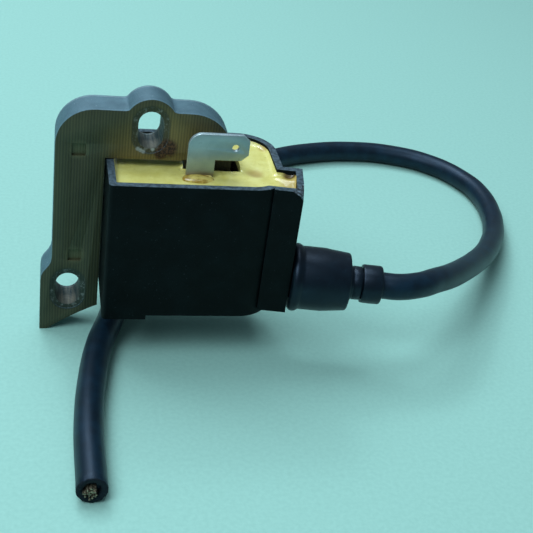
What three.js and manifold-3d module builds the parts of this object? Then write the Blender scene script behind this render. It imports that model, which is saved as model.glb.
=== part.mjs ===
// Ignition coil for a small two-stroke engine: a laminated iron core with a potted coil and electronics
// on its inner leg, a stop-switch tab, and a rubber-booted high-voltage lead. Millimetres, +Z up,
// +X towards the lead's boot, -Y towards the side that the screws go in from.
import * as THREE from "three";
import { mergeVertices } from "three/addons/utils/BufferGeometryUtils.js";
import Module from "manifold-3d";

const wasm = await Module();
wasm.setup();

// ---- driving dimensions --------------------------------------------------------------------------

const fit = 0.3; // clearance round any piece that sits in a cut or cast pocket
const hairline = 0.03; // between sheets of the iron pack

const sheetThickness = 0.5;
const coreThickness = 6.3;
const legWidth = 8.5;
const footJut = 1.95; // how far the foot stands out past the outer leg
const footHeight = 10.8;
const footFlareTop = 15.9;
const tipFlat = 1.3;
const legGap = 13.65; // between the two legs
const yokeHeight = 8.95;
const yokeTop = 45.15;
const coreCornerRadius = 6.6;
const yokeEndRadius = 7.6;
const poleRadius = 47; // the flywheel's radius and the air gap
const poleCentreInset = 2.6; // the crankshaft's place, in from the inner leg's far side
const poleMargin = 0.02; // the housing stops this far above the top of the pole arc

const earInset = 6.1; // the ear's middle, out from the inner leg
const earRadius = 4.5;
const earRise = 2.3; // top of the ear above the yoke
const earBlend = 0.9;

const slotWidth = 4.4; // M4 screws with room to set the air gap
const slotLength = 6.9;
const upperSlotDrop = 3.4; // below the yoke's top
const lowerSlotShift = 1.25; // out from the outer leg's middle
const lowerSlotZ = 9;
const seatMargin = 0.9;
const seatDepth = 0.1;

const dimpleSize = 2.4;
const dimpleCorner = 0.2;
const dimpleShift = 0.25; // out from the outer leg's middle
const lowerDimpleZ = 16.4;
const upperDimpleDrop = 7.55; // below the yoke's top

const wall = 1.25;
const floorThickness = 1.3;
const housingFront = 9.6; // from the core's front face to the housing's
const housingBehind = 6.9; // from the core's rear face to the housing's
const housingBeyond = 9.45; // from the inner leg to the housing's right side
const footPadWidth = 7.8; // the lower step under the housing's outer end
const footPadDrop = 0.85;
const cornerRadius = 6.6;
const sharpRadius = 0.8;
const rimGap = 0.25; // rim to the yoke's underside

const outletYaw = THREE.MathUtils.degToRad(-9);
const outletReach = 2.8; // the tower's face past the body
const outletY = -5.3;
const outletLift = 6.2; // outlet's axis above the housing's bottom
const towerWidth = 9.2;
const towerDepth = 5.2;
const towerLift = 1.1; // tower's foot above the housing's
const spigotWall = 1.1; // round the lead's socket
const spigotLength = 8.6;

const potDepth = 1.2; // potting below the rim
const wellRight = 2.1; // open well between the inner leg and the potting
const potCap = 2.6;

const bobbinClearance = 0.3;
const bobbinWall = 0.6;
const ringRadius = 0.4; // corner radius at the leg itself, before a ring's offset
const flangeThickness = 0.7;
const lowVoltageBuild = 1.2;
const highVoltageBuild = 1.4;
const windingGap = 0.1;
const flangeLip = 0.15;
const chargeLength = 3.6;
const triggerLength = 1.8;
const bobbinLift = 1.1; // bobbin above the housing's floor
const bobbinHeadroom = 1.8; // bobbin below the potting's cap
const sections = 4;

const boardThickness = 1;
const boardDepth = 17.5;
const boardHeadroom = 1.45; // board below the potting's cap
const boardMargin = 0.4; // board from the pocket's side
const partGap = 0.1; // between the board and the parts on it

// Parts on the board: y is from the housing's middle, and a share is of the board's height.
const capacitorSize = { depth: 4.2, front: -1.5, rear: 6.5, lift: 1, topShare: 0.49 };
const thyristorSize = { radius: 2.3, flat: 1.2, height: 4.6, y: -5.5, lift: 2.5 };
const diodeSize = { radius: 1.3, length: 4.6, share: 0.62 };
const resistorSize = { radius: 0.9, length: 4, share: 0.81 };
const frontPartY = -5;
const rearPartY = 1;
const stripSize = { halfWidth: 1.5, thickness: 0.3, lift: 0.4 };

const tabSize = 4.8;
const tabThickness = 0.8;
const tabReach = 10.6;
const tabRise = 8.35; // above the potting
const tabInset = 0.15; // right of the inner leg's near side
const tabY = -3.4;
const tabHole = 0.65;
const tabBend = 2.4;
const tabChamferX = 1.2;
const tabChamferZ = 1.1;
const tabClearance = 0.05; // flag above the potting
const tabFootInset = 0.6;
const tabFootThickness = 0.5;
const tabFootDepth = 3.9;
const tabFootOverlap = 0.6; // foot run up into the flag

const linkRadius = 0.35;

const leadRadius = 2.5;
const leadBore = 0.9;
const leadSteps = 42;
const tableGap = 0.05; // lead above the table where it lies on it
const wireRadius = 0.6;
const bootWallNear = 2.05;
const bootWallFar = 1.45;
const beadRise = 0.4; // bead's radius over the boot's
const beadWidth = 2;
const bootLength = 10.9;
const bootLip = 0.8;
const sleeveWall = 0.35;
const sleeveShow = 2.4;
const collarWall = 0.8;
const collarLength = 3.6;
const spikeLength = 6.4;
const spikeHeadRadius = 1.6;
const spikeHeadThickness = 0.6;

// The lead's centreline from the collar round to its bare cut end, chosen by hand: X and Y from the
// collar's mouth, then the height as a share of the outlet's, 0 where the lead lies on the table.
const leadRoute = [
  [0, 0, 1],
  [2.97, -0.47, 1],
  [7.42, 0.52, 0.985],
  [11.92, 3.62, 0.918],
  [16.92, 8.12, 0.784],
  [22.42, 14.12, 0.621],
  [27.92, 20.82, 0.45],
  [32.92, 27.32, 0.309],
  [38.42, 36.02, 0.16],
  [42.42, 44.02, 0.056],
  [45.42, 53.52, 0.004],
  [46.22, 62.52, 0],
  [44.42, 70.52, 0],
  [37.92, 79.52, 0],
  [27.92, 84.52, 0],
  [17.42, 85.52, 0],
  [5.92, 83.52, 0],
  [-4.08, 79.32, 0],
  [-17.08, 70.02, 0],
  [-29.08, 58.02, 0],
  [-38.58, 43.52, 0],
  [-45.08, 26.52, 0],
  [-49.08, 8.52, 0],
  [-51.58, 0.02, 0],
  [-53.38, -10.48, 0],
  [-54.38, -22.48, 0],
  [-54.38, -38.08, 0],
];

// ---- places worked out from the dimensions ---------------------------------------------------------

const outerLegRight = footJut + legWidth;
const outerLegX = footJut + legWidth / 2;
const innerLegLeft = outerLegRight + legGap;
const innerLegRight = innerLegLeft + legWidth;
const innerLegX = (innerLegLeft + innerLegRight) / 2;
const coreMidY = coreThickness / 2;
const yokeBottom = yokeTop - yokeHeight;
const earCentreX = innerLegLeft - earInset;
const upperSlotX = earCentreX;
const upperSlotZ = yokeTop - upperSlotDrop;
const lowerSlotX = outerLegX - lowerSlotShift;
const dimpleX = outerLegX - dimpleShift;
const dimpleHeights = [lowerDimpleZ, yokeTop - upperDimpleDrop];
const poleCentreX = innerLegRight - poleCentreInset;
const poleCentreZ = -Math.sqrt(poleRadius ** 2 - (poleCentreX - tipFlat) ** 2);
const poleHeight = (x) => poleCentreZ + Math.sqrt(poleRadius ** 2 - (poleCentreX - x) ** 2);

const housingBottom = poleCentreZ + poleRadius + poleMargin;
const housingLeft = outerLegRight + fit;
const housingRight = innerLegRight + housingBeyond;
const housingRear = coreThickness + housingBehind;
const rim = yokeBottom - rimGap;
const floorTop = housingBottom + floorThickness;
const potLevel = rim - potDepth;
const chamberTop = potLevel - potCap;
const tabX = innerLegLeft + tabInset;
const tabTop = potLevel + tabRise;

const outletX = housingRight + outletReach;
const outletHeight = housingBottom + outletLift;
const outletAxis = new THREE.Vector3(Math.cos(outletYaw), Math.sin(outletYaw), 0);
const socketRadius = leadRadius + fit;
const sleeveRadius = socketRadius + sleeveWall;
const collarRadius = socketRadius + collarWall;
const spigotRadius = socketRadius + spigotWall;
const bootRadiusNear = spigotRadius + bootWallNear;
const bootRadiusFar = spigotRadius + bootWallFar;
const beadRadius = bootRadiusNear + beadRise;
const bootEnd = fit + bootLength;
const sleeveStart = spigotLength + fit;
const sleeveEnd = bootEnd + sleeveShow;
const collarStart = sleeveEnd + fit;
const collarEnd = collarStart + collarLength;
const spikeBack = -wall - fit - spikeHeadThickness;

// ---- geometry helpers ------------------------------------------------------------------------------

function toSolid(geometry) {
  const bare = geometry.clone();
  bare.deleteAttribute("normal");
  bare.deleteAttribute("uv");
  const merged = mergeVertices(bare, 1e-4);
  const mesh = new wasm.Mesh({
    numProp: 3,
    vertProperties: new Float32Array(merged.attributes.position.array),
    triVerts: new Uint32Array(merged.index.array),
  });
  return new wasm.Manifold(mesh);
}

function toGeometry(solid) {
  const mesh = solid.getMesh();
  const geometry = new THREE.BufferGeometry();
  geometry.setAttribute("position", new THREE.BufferAttribute(mesh.vertProperties, 3));
  geometry.setIndex(new THREE.BufferAttribute(mesh.triVerts, 1));
  geometry.computeVertexNormals();
  return geometry;
}

function cut(geometry, ...tools) {
  return toGeometry(tools.reduce((solid, tool) => solid.subtract(toSolid(tool)), toSolid(geometry)));
}

function join(...geometries) {
  return toGeometry(geometries.map(toSolid).reduce((sum, solid) => sum.add(solid)));
}

// A plan outline (x, y) raised from one height to another.
function raise(shape, bottom, top, curveSegments = 6) {
  const options = { depth: top - bottom, bevelEnabled: false, curveSegments };
  return new THREE.ExtrudeGeometry(shape, options).translate(0, 0, bottom);
}

// A front outline (x, z) given depth from one y to another.
function deepen(shape, front, back, curveSegments = 6) {
  const options = { depth: back - front, bevelEnabled: false, curveSegments };
  return new THREE.ExtrudeGeometry(shape, options).rotateX(Math.PI / 2).translate(0, back, 0);
}

function block(x0, x1, y0, y1, z0, z1) {
  const geometry = new THREE.BoxGeometry(x1 - x0, y1 - y0, z1 - z0);
  return geometry.translate((x0 + x1) / 2, (y0 + y1) / 2, (z0 + z1) / 2);
}

// A rectangle with its own radius at each corner, from the lower left counterclockwise.
function roundedRectangle(x0, x1, y0, y1, radii, Path = THREE.Shape) {
  const [a, b, c, d] = radii;
  const path = new Path();
  path.moveTo(x0 + a, y0);
  path.lineTo(x1 - b, y0);
  path.absarc(x1 - b, y0 + b, b, -Math.PI / 2, 0, false);
  path.lineTo(x1, y1 - c);
  path.absarc(x1 - c, y1 - c, c, 0, Math.PI / 2, false);
  path.lineTo(x0 + d, y1);
  path.absarc(x0 + d, y1 - d, d, Math.PI / 2, Math.PI, false);
  path.lineTo(x0, y0 + a);
  path.absarc(x0 + a, y0 + a, a, Math.PI, 1.5 * Math.PI, false);
  return path;
}

// An upright slot with round ends.
function slotOutline(x, z, width, length, Path = THREE.Path) {
  const radius = width / 2;
  const reach = length / 2 - radius;
  const path = new Path();
  path.moveTo(x + radius, z - reach);
  path.lineTo(x + radius, z + reach);
  path.absarc(x, z + reach, radius, 0, Math.PI, false);
  path.lineTo(x - radius, z - reach);
  path.absarc(x, z - reach, radius, Math.PI, 2 * Math.PI, false);
  return path;
}

// A closed profile of (radius, distance along the axis) points turned round the y axis.
function turn(profile, segments = 28) {
  const points = profile.map(([radius, along]) => new THREE.Vector2(radius, along));
  return new THREE.LatheGeometry(points, segments);
}

function sleeve(inner, outer, start, end, segments = 28) {
  return turn([[inner, start], [outer, start], [outer, end], [inner, end], [inner, start]], segments);
}

function rod(radius, start, end, segments = 16) {
  return turn([[0, start], [radius, start], [radius, end], [0, end]], segments);
}

function polygon(radius, sides, Path = THREE.Shape) {
  const path = new Path();
  for (let i = 0; i < sides; i += 1) {
    const angle = (2 * Math.PI * i) / sides;
    const point = [radius * Math.cos(angle), radius * Math.sin(angle)];
    if (i === 0) path.moveTo(...point);
    else path.lineTo(...point);
  }
  path.closePath();
  return path;
}

function alongRoute(shape, points, steps) {
  const curve = new THREE.CatmullRomCurve3(points.map((point) => new THREE.Vector3(...point)));
  return new THREE.ExtrudeGeometry(shape, { steps, extrudePath: curve });
}

// ---- materials -------------------------------------------------------------------------------------

const look = (color, roughness, metalness) => new THREE.MeshStandardMaterial({ color, roughness, metalness });

const materials = {
  sheetFace: look("#3b3d2c", 0.6, 0.7),
  sheetEdge: look("#5b7080", 0.45, 0.8),
  housing: look("#0b1512", 0.5, 0),
  potting: look("#d9d78c", 0.45, 0),
  tin: look("#7a8a84", 0.35, 0.9),
  rubber: look("#1b2836", 0.55, 0),
  copper: look("#b3622f", 0.35, 0.95),
  bobbin: look("#2b2b2b", 0.55, 0),
  natural: look("#d8cfb4", 0.5, 0),
  brass: look("#b8923e", 0.35, 0.95),
  board: look("#2f6b3c", 0.5, 0),
  film: look("#a8452c", 0.4, 0),
  resistor: look("#c7b48a", 0.5, 0),
  dielectric: look("#b9ab92", 0.55, 0),
  wire: look("#8f8a80", 0.35, 0.9),
};

// ---- iron core -------------------------------------------------------------------------------------

function coreOutline() {
  const shape = new THREE.Shape();
  const poleAngle = (x) => Math.atan2(poleHeight(x) - poleCentreZ, x - poleCentreX);
  const r = coreCornerRadius;
  const end = yokeEndRadius;
  const earCentreZ = yokeTop + earRise - earRadius;
  const earHalf = Math.sqrt(earRadius ** 2 - (yokeTop - earCentreZ) ** 2);
  const earStart = Math.atan2(yokeTop + earBlend / 2 - earCentreZ, earHalf);
  const earFootX = earRadius * Math.cos(earStart);
  const earFootZ = earCentreZ + earRadius * Math.sin(earStart);

  shape.moveTo(0, 0);
  shape.lineTo(tipFlat, 0);
  shape.absarc(poleCentreX, poleCentreZ, poleRadius, poleAngle(tipFlat), poleAngle(outerLegRight), true);
  shape.lineTo(outerLegRight, yokeBottom);
  shape.lineTo(innerLegLeft, yokeBottom);
  shape.lineTo(innerLegLeft, poleHeight(innerLegLeft));
  shape.absarc(poleCentreX, poleCentreZ, poleRadius, poleAngle(innerLegLeft), poleAngle(innerLegRight), true);
  shape.lineTo(innerLegRight, yokeTop - end);
  shape.absarc(innerLegRight - end, yokeTop - end, end, 0, Math.PI / 2, false);
  shape.lineTo(earCentreX + earHalf + earBlend, yokeTop);
  shape.quadraticCurveTo(earCentreX + earHalf, yokeTop, earCentreX + earFootX, earFootZ);
  shape.absarc(earCentreX, earCentreZ, earRadius, earStart, Math.PI - earStart, false);
  shape.quadraticCurveTo(earCentreX - earHalf, yokeTop, earCentreX - earHalf - earBlend, yokeTop);
  shape.lineTo(footJut + r, yokeTop);
  shape.absarc(footJut + r, yokeTop - r, r, Math.PI / 2, Math.PI, false);
  shape.lineTo(footJut, footFlareTop);
  const bend = (footFlareTop - footHeight) / 2;
  shape.bezierCurveTo(footJut, footFlareTop - bend, 0, footHeight + bend, 0, footHeight);
  shape.closePath();
  shape.holes.push(slotOutline(upperSlotX, upperSlotZ, slotWidth, slotLength));
  shape.holes.push(slotOutline(lowerSlotX, lowerSlotZ, slotWidth, slotLength));
  return shape;
}

// Rings that the screw heads have pressed into the front sheet.
function screwSeat(x, z) {
  const seat = slotOutline(x, z, slotWidth + 2 * seatMargin, slotLength + 2 * seatMargin, THREE.Shape);
  return deepen(seat, -seatDepth, seatDepth);
}

function frontSheet() {
  const shape = coreOutline();
  const half = dimpleSize / 2;
  for (const z of dimpleHeights) {
    const corners = Array(4).fill(dimpleCorner);
    const x = dimpleX;
    shape.holes.push(roundedRectangle(x - half, x + half, z - half, z + half, corners, THREE.Path));
  }
  const sheet = deepen(shape, 0, sheetThickness);
  return cut(sheet, screwSeat(upperSlotX, upperSlotZ), screwSeat(lowerSlotX, lowerSlotZ));
}

function corePack() {
  return deepen(coreOutline(), sheetThickness + hairline, coreThickness - sheetThickness - hairline);
}

function rearSheet() {
  return deepen(coreOutline(), coreThickness - sheetThickness, coreThickness);
}

// A rounded rectangle that lies a given distance outside the inner leg's section.
function legRing(offset, Path = THREE.Shape) {
  const radius = offset + ringRadius;
  const radii = [radius, radius, radius, radius];
  const [x0, x1] = [innerLegLeft - offset, innerLegRight + offset];
  return roundedRectangle(x0, x1, -offset, coreThickness + offset, radii, Path);
}

// ---- housing and potting ---------------------------------------------------------------------------

function planOutline(inset) {
  const round = cornerRadius - inset;
  const sharp = Math.max(sharpRadius - inset, 0.2);
  const [x0, x1] = [housingLeft + inset, housingRight - inset];
  return roundedRectangle(x0, x1, -housingFront + inset, housingRear - inset, [sharp, round, round, sharp]);
}

function towerBlock(inset, bottom, top, inward) {
  const half = towerWidth / 2 - inset;
  const tower = block(-inward, -inset, -half, half, bottom, top);
  return tower.rotateZ(outletYaw).translate(outletX, outletY, 0);
}

// Moves a piece turned round the y axis onto the outlet's axis.
function ontoOutlet(geometry) {
  return geometry.rotateZ(outletYaw - Math.PI / 2).translate(outletX, outletY, outletHeight);
}

function legPassage(bottom, top, right = fit) {
  return block(innerLegLeft - fit, innerLegRight + right, -fit, coreThickness + fit, bottom, top);
}

function housingShell() {
  const footPad = housingBottom - footPadDrop;
  const body = raise(planOutline(0), footPad, rim);
  const tower = towerBlock(0, housingBottom + towerLift, rim, towerDepth);
  const step = block(
    housingLeft + footPadWidth,
    housingRight + 1,
    -housingFront - 1,
    housingRear + 1,
    footPad - 1,
    housingBottom,
  );
  const spigot = ontoOutlet(rod(spigotRadius, -wall / 2, spigotLength, 28));
  return cut(
    join(body, tower, spigot),
    step,
    raise(planOutline(wall), floorTop, rim + 1),
    towerBlock(wall, floorTop + towerLift, rim + 1, towerDepth + wall),
    legPassage(housingBottom - 1, floorTop + 1),
    ontoOutlet(rod(socketRadius, 0, spigotLength + 1, 28)),
    ontoOutlet(rod(wireRadius + fit, -wall - 1, 1, 16)),
  );
}

// The coil's and the electronics' room, open at the bottom so that it isn't a sealed hollow.
function chamber() {
  const coil = raise(legRing(highVoltageOuter + fit), floorTop - 1, chamberTop);
  const bay = block(boardX - fit, innerLegX, bayFront, bayRear, floorTop - 1, chamberTop);
  const half = spikeHeadRadius + fit;
  const channel = block(innerLegRight - outletX, -wall, -half, half, floorTop - 1, outletHeight + half);
  return [coil, bay, channel.rotateZ(outletYaw).translate(outletX, outletY, 0)];
}

function potting() {
  const bottom = floorTop + fit;
  const body = raise(planOutline(wall + fit), bottom, potLevel);
  const tower = towerBlock(wall + fit, bottom + towerLift, potLevel, towerDepth);
  const foot = block(
    tabX + fit / 2,
    tabX + tabSize - fit / 2,
    tabY - fit,
    tabY + tabThickness + fit,
    chamberTop - 1,
    potLevel + 1,
  );
  return cut(join(body, tower), ...chamber(), legPassage(chamberTop - 1, potLevel + 1, wellRight), foot);
}

// ---- coil ------------------------------------------------------------------------------------------

const primaryInner = bobbinClearance + bobbinWall;
const primaryOuter = primaryInner + windingGap + lowVoltageBuild + flangeLip;
const secondaryTube = primaryOuter + 2 * windingGap;
const secondaryInner = secondaryTube + bobbinWall;
const highVoltageOuter = secondaryInner + windingGap + highVoltageBuild + flangeLip;
const bobbinBottom = floorTop + bobbinLift;
const bobbinTop = chamberTop - bobbinHeadroom;
const chargeStart = bobbinBottom + flangeThickness;
const triggerStart = chargeStart + chargeLength + flangeThickness;
const primaryStart = triggerStart + triggerLength + flangeThickness;
const primaryEnd = bobbinTop - flangeThickness;

function ring(inner, outer, bottom, top) {
  const shape = legRing(outer);
  shape.holes.push(legRing(inner, THREE.Path));
  return raise(shape, bottom, top, 3);
}

// A winding fills the space between two flanges, less a little clearance all round.
function winding(inner, build, bottom, top) {
  return ring(inner + windingGap, inner + windingGap + build, bottom + windingGap, top - windingGap);
}

function bobbin(inner, outer, flange, bottoms, bottom, top) {
  const flanges = bottoms.map((z) => ring(inner, flange, z, z + flangeThickness));
  return join(ring(inner, outer, bottom, top), ...flanges);
}

function primaryBobbin() {
  const flanges = [bobbinBottom, chargeStart + chargeLength, triggerStart + triggerLength, primaryEnd];
  return bobbin(bobbinClearance, primaryInner, primaryOuter, flanges, bobbinBottom, bobbinTop);
}

const secondaryBottom = primaryStart - flangeThickness;
const sectionPitch = (bobbinTop - flangeThickness - secondaryBottom) / sections;

function secondaryBobbin() {
  const flanges = Array.from({ length: sections + 1 }, (_, i) => secondaryBottom + i * sectionPitch);
  return bobbin(secondaryTube, secondaryInner, highVoltageOuter, flanges, secondaryBottom, bobbinTop);
}

function secondarySection(i) {
  const bottom = secondaryBottom + i * sectionPitch + flangeThickness;
  return winding(secondaryInner, highVoltageBuild, bottom, bottom + sectionPitch - flangeThickness);
}

// ---- electronics -----------------------------------------------------------------------------------

const boardX = housingLeft + wall + 2 * fit + boardMargin;
const partsX = boardX + boardThickness + partGap;
const bayMidY = (housingRear - housingFront) / 2;
const bayFront = bayMidY - boardDepth / 2 - fit;
const bayRear = bayMidY + boardDepth / 2 + fit;
const boardBottom = floorTop + bobbinLift;
const boardTop = chamberTop - boardHeadroom;

// A small round part lying along the board, at a share of the board's height.
function canister(radius, length, y, share) {
  const z = boardBottom + share * (boardTop - boardBottom);
  return rod(radius, -length / 2, length / 2, 14).translate(partsX + radius, bayMidY + y, z);
}

function thyristorCase() {
  const shape = new THREE.Shape();
  const { radius, flat, height, y, lift } = thyristorSize;
  const angle = Math.acos(flat / radius);
  shape.absarc(0, 0, radius, Math.PI + angle, 3 * Math.PI - angle, false);
  shape.closePath();
  return raise(shape, 0, height, 5).translate(partsX + flat, bayMidY + y, boardBottom + lift);
}

function earthStrip() {
  const { halfWidth, thickness, lift } = stripSize;
  const z = floorTop + lift;
  return block(partsX, innerLegLeft - fit, coreMidY - halfWidth, coreMidY + halfWidth, z, z + thickness);
}

function stopTab() {
  const shape = new THREE.Shape();
  const [left, right] = [tabX, tabX + tabReach];
  const bottom = potLevel + tabClearance;
  const armBottom = tabTop - tabSize;
  shape.moveTo(left, bottom);
  shape.lineTo(left + tabSize, bottom);
  shape.lineTo(left + tabSize, armBottom);
  shape.lineTo(right - tabChamferX, armBottom);
  shape.lineTo(right, armBottom + tabChamferZ);
  shape.lineTo(right, tabTop - tabChamferZ);
  shape.lineTo(right - tabChamferX, tabTop);
  shape.lineTo(left + tabBend, tabTop);
  shape.absarc(left + tabBend, tabTop - tabBend, tabBend, Math.PI / 2, Math.PI, false);
  shape.closePath();
  const hole = new THREE.Path();
  hole.absarc(right - tabSize / 2, tabTop - tabSize / 2, tabHole, 0, 2 * Math.PI, false);
  shape.holes.push(hole);
  const flag = deepen(shape, tabY, tabY + tabThickness);
  const footFront = tabY + (tabThickness - tabFootThickness) / 2;
  const foot = block(
    left + tabFootInset,
    left + tabSize - tabFootInset,
    footFront,
    footFront + tabFootThickness,
    potLevel - tabFootDepth,
    potLevel + tabFootOverlap,
  );
  return join(flag, foot);
}

function linkWire(points) {
  return alongRoute(polygon(linkRadius, 8), points, 8);
}

// From the board up to the terminal's foot, under the potting's cap.
function stopWire() {
  const z = chamberTop - linkRadius - fit;
  const y = tabY + tabThickness / 2;
  const bendX = (partsX + tabX) / 2;
  return linkWire([[partsX, y - 1, z - 1.4], [bendX, y - 0.6, z - 0.2], [tabX + tabFootInset - fit, y, z]]);
}

// From the last winding's rounded corner to the back of the contact spike.
function outletWire() {
  const angle = THREE.MathUtils.degToRad(-40);
  const reach = highVoltageOuter + ringRadius + linkRadius + fit;
  const start = [
    innerLegRight - ringRadius + reach * Math.cos(angle),
    ringRadius + reach * Math.sin(angle),
    outletHeight + 0.4,
  ];
  const end = new THREE.Vector3(outletX, outletY, outletHeight).addScaledVector(outletAxis, spikeBack - fit);
  const middle = [(start[0] + end.x) / 2, (start[1] + end.y) / 2, outletHeight + 0.6];
  return linkWire([start, middle, end.toArray()]);
}

// ---- lead and boot, along the outlet's axis --------------------------------------------------------

function boot() {
  const start = fit;
  const bead = beadWidth / 2;
  const outer = [];
  for (let i = 0; i <= 8; i += 1) {
    const angle = -Math.PI / 2 + (Math.PI * i) / 8;
    outer.push([beadRadius - bead + bead * Math.cos(angle), start + bead + bead * Math.sin(angle)]);
  }
  const shoulder = sleeveStart;
  const bore = spigotRadius + fit;
  const neck = sleeveRadius + fit;
  return turn([
    [bore, start],
    ...outer,
    [bootRadiusNear, start + beadWidth + 0.1],
    [bootRadiusFar, bootEnd],
    [bootRadiusFar - bootLip, bootEnd],
    [bootRadiusFar - bootLip, bootEnd - bootLip],
    [neck, bootEnd - bootLip],
    [neck, shoulder],
    [bore, shoulder],
    [bore, start],
  ]);
}

function spike() {
  const neck = spikeBack + spikeHeadThickness;
  return turn(
    [
      [0, spikeBack],
      [spikeHeadRadius, spikeBack],
      [spikeHeadRadius, neck],
      [wireRadius, neck],
      [wireRadius, spikeLength - 1],
      [0, spikeLength],
    ],
    16,
  );
}

function leadStub() {
  return sleeve(leadBore, leadRadius, 2 * fit, collarEnd, 20);
}

// The route's points in the rigid pieces' frame.
function leadPoints() {
  const low = leadRadius + tableGap;
  const mouth = collarEnd + fit;
  const [startX, startY] = [outletX + mouth * outletAxis.x, outletY + mouth * outletAxis.y];
  return leadRoute.map(([x, y, share]) => [startX + x, startY + y, low + share * (outletHeight - low)]);
}

function leadTube() {
  const section = polygon(leadRadius, 12);
  section.holes.push(polygon(leadBore, 8, THREE.Path));
  return alongRoute(section, leadPoints(), leadSteps);
}

// ---- assembly --------------------------------------------------------------------------------------

function node(name, geometry, material) {
  const mesh = new THREE.Mesh(geometry, material);
  mesh.name = name;
  return mesh;
}

const core = new THREE.Group();
core.add(
  node("front_lamination", frontSheet(), materials.sheetFace),
  node("core_lamination_pack", corePack(), materials.sheetEdge),
  node("rear_lamination", rearSheet(), materials.sheetFace),
);

const casing = new THREE.Group();
casing.add(
  node("housing_shell", housingShell(), materials.housing),
  node("potting_compound", potting(), materials.potting),
  node("stop_terminal", stopTab(), materials.tin),
);

const coil = new THREE.Group();
const chargeWinding = winding(primaryInner, lowVoltageBuild, chargeStart, chargeStart + chargeLength);
const triggerWinding = winding(primaryInner, lowVoltageBuild, triggerStart, triggerStart + triggerLength);
const primaryWinding = winding(primaryInner, lowVoltageBuild, primaryStart, primaryEnd);
coil.add(
  node("primary_bobbin", primaryBobbin(), materials.bobbin),
  node("charge_winding", chargeWinding, materials.copper),
  node("trigger_winding", triggerWinding, materials.copper),
  node("primary_winding", primaryWinding, materials.copper),
  node("secondary_bobbin", secondaryBobbin(), materials.natural),
);
for (let i = 0; i < sections; i += 1) {
  coil.add(node(`secondary_winding_${i + 1}`, secondarySection(i), materials.copper));
}

const electronics = new THREE.Group();
const boardY = [bayMidY - boardDepth / 2, bayMidY + boardDepth / 2];
const boardPlate = block(boardX, boardX + boardThickness, ...boardY, boardBottom, boardTop);
const capacitorY = [bayMidY + capacitorSize.front, bayMidY + capacitorSize.rear];
const capacitorTop = boardBottom + capacitorSize.topShare * (boardTop - boardBottom);
const capacitorZ = [boardBottom + capacitorSize.lift, capacitorTop];
const capacitorBody = block(partsX, partsX + capacitorSize.depth, ...capacitorY, ...capacitorZ);
const diode = (y) => canister(diodeSize.radius, diodeSize.length, y, diodeSize.share);
const resistor = (y) => canister(resistorSize.radius, resistorSize.length, y, resistorSize.share);
electronics.add(
  node("circuit_board", boardPlate, materials.board),
  node("storage_capacitor", capacitorBody, materials.film),
  node("thyristor", thyristorCase(), materials.bobbin),
  node("charge_diode", diode(frontPartY), materials.bobbin),
  node("clamp_diode", diode(rearPartY), materials.bobbin),
  node("gate_resistor", resistor(frontPartY), materials.resistor),
  node("bleed_resistor", resistor(rearPartY), materials.resistor),
  node("earth_strip", earthStrip(), materials.brass),
  node("stop_wire", stopWire(), materials.rubber),
  node("high_voltage_wire", outletWire(), materials.copper),
);

const outlet = new THREE.Group();
outlet.position.set(outletX, outletY, outletHeight);
outlet.rotation.z = outletYaw - Math.PI / 2;
outlet.add(
  node("contact_spike", spike(), materials.brass),
  node("rubber_boot", boot(), materials.rubber),
  node("sealing_sleeve", sleeve(leadRadius + fit, sleeveRadius, sleeveStart, sleeveEnd), materials.rubber),
  node("collar_ring", sleeve(leadRadius + fit, collarRadius, collarStart, collarEnd), materials.rubber),
  node("lead_end_jacket", leadStub(), materials.rubber),
  node("lead_end_wire", rod(wireRadius, spikeLength + fit, collarEnd, 12), materials.wire),
);

const lead = new THREE.Group();
lead.add(
  node("lead_jacket", leadTube(), materials.rubber),
  node("lead_wire", alongRoute(polygon(wireRadius, 8), leadPoints(), leadSteps), materials.wire),
);

// The rigid pieces stand with the middle of their footprint at the origin, and the lead moves with them.
const rigid = new THREE.Group();
rigid.add(core, casing, coil, electronics, outlet);
rigid.updateMatrixWorld(true);
const bounds = new THREE.Box3().setFromObject(rigid, true);
const middle = bounds.getCenter(new THREE.Vector3());
rigid.position.set(-middle.x, -middle.y, -bounds.min.z);

const ignitionCoil = new THREE.Group();
lead.position.copy(rigid.position);
ignitionCoil.add(rigid, lead);

export default ignitionCoil;
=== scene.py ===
import math
import random

import bmesh
import bpy
from mathutils import Matrix, Vector, noise
from mathutils.kdtree import KDTree


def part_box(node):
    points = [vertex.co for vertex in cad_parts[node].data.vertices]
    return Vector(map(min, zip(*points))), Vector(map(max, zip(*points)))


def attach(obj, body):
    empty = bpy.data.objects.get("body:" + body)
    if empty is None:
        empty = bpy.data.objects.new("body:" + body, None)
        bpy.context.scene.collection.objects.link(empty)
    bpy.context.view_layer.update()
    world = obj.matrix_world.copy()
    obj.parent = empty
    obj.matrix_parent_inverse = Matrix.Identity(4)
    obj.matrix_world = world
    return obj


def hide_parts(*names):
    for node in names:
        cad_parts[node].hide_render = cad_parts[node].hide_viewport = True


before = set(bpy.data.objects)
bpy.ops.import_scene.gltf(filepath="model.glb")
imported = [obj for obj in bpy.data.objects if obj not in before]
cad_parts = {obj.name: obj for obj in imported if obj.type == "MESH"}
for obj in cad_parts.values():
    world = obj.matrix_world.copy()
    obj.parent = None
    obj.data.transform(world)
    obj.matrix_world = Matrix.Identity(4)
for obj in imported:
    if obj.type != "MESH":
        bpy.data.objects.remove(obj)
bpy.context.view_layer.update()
mm = 0.001
body = "root"


def atMm(*place):
    return Vector(place) * mm


cameraView = {  # lengths in millimetres, turns in degrees
    "place": (-32.7, -165.5, 118.2),
    "turnRight": 14.69,
    "tiltDown": 31.25,
    "roll": 8.76,
    "lens": 71.0,
    "nearest": 10.0,
}


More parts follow.
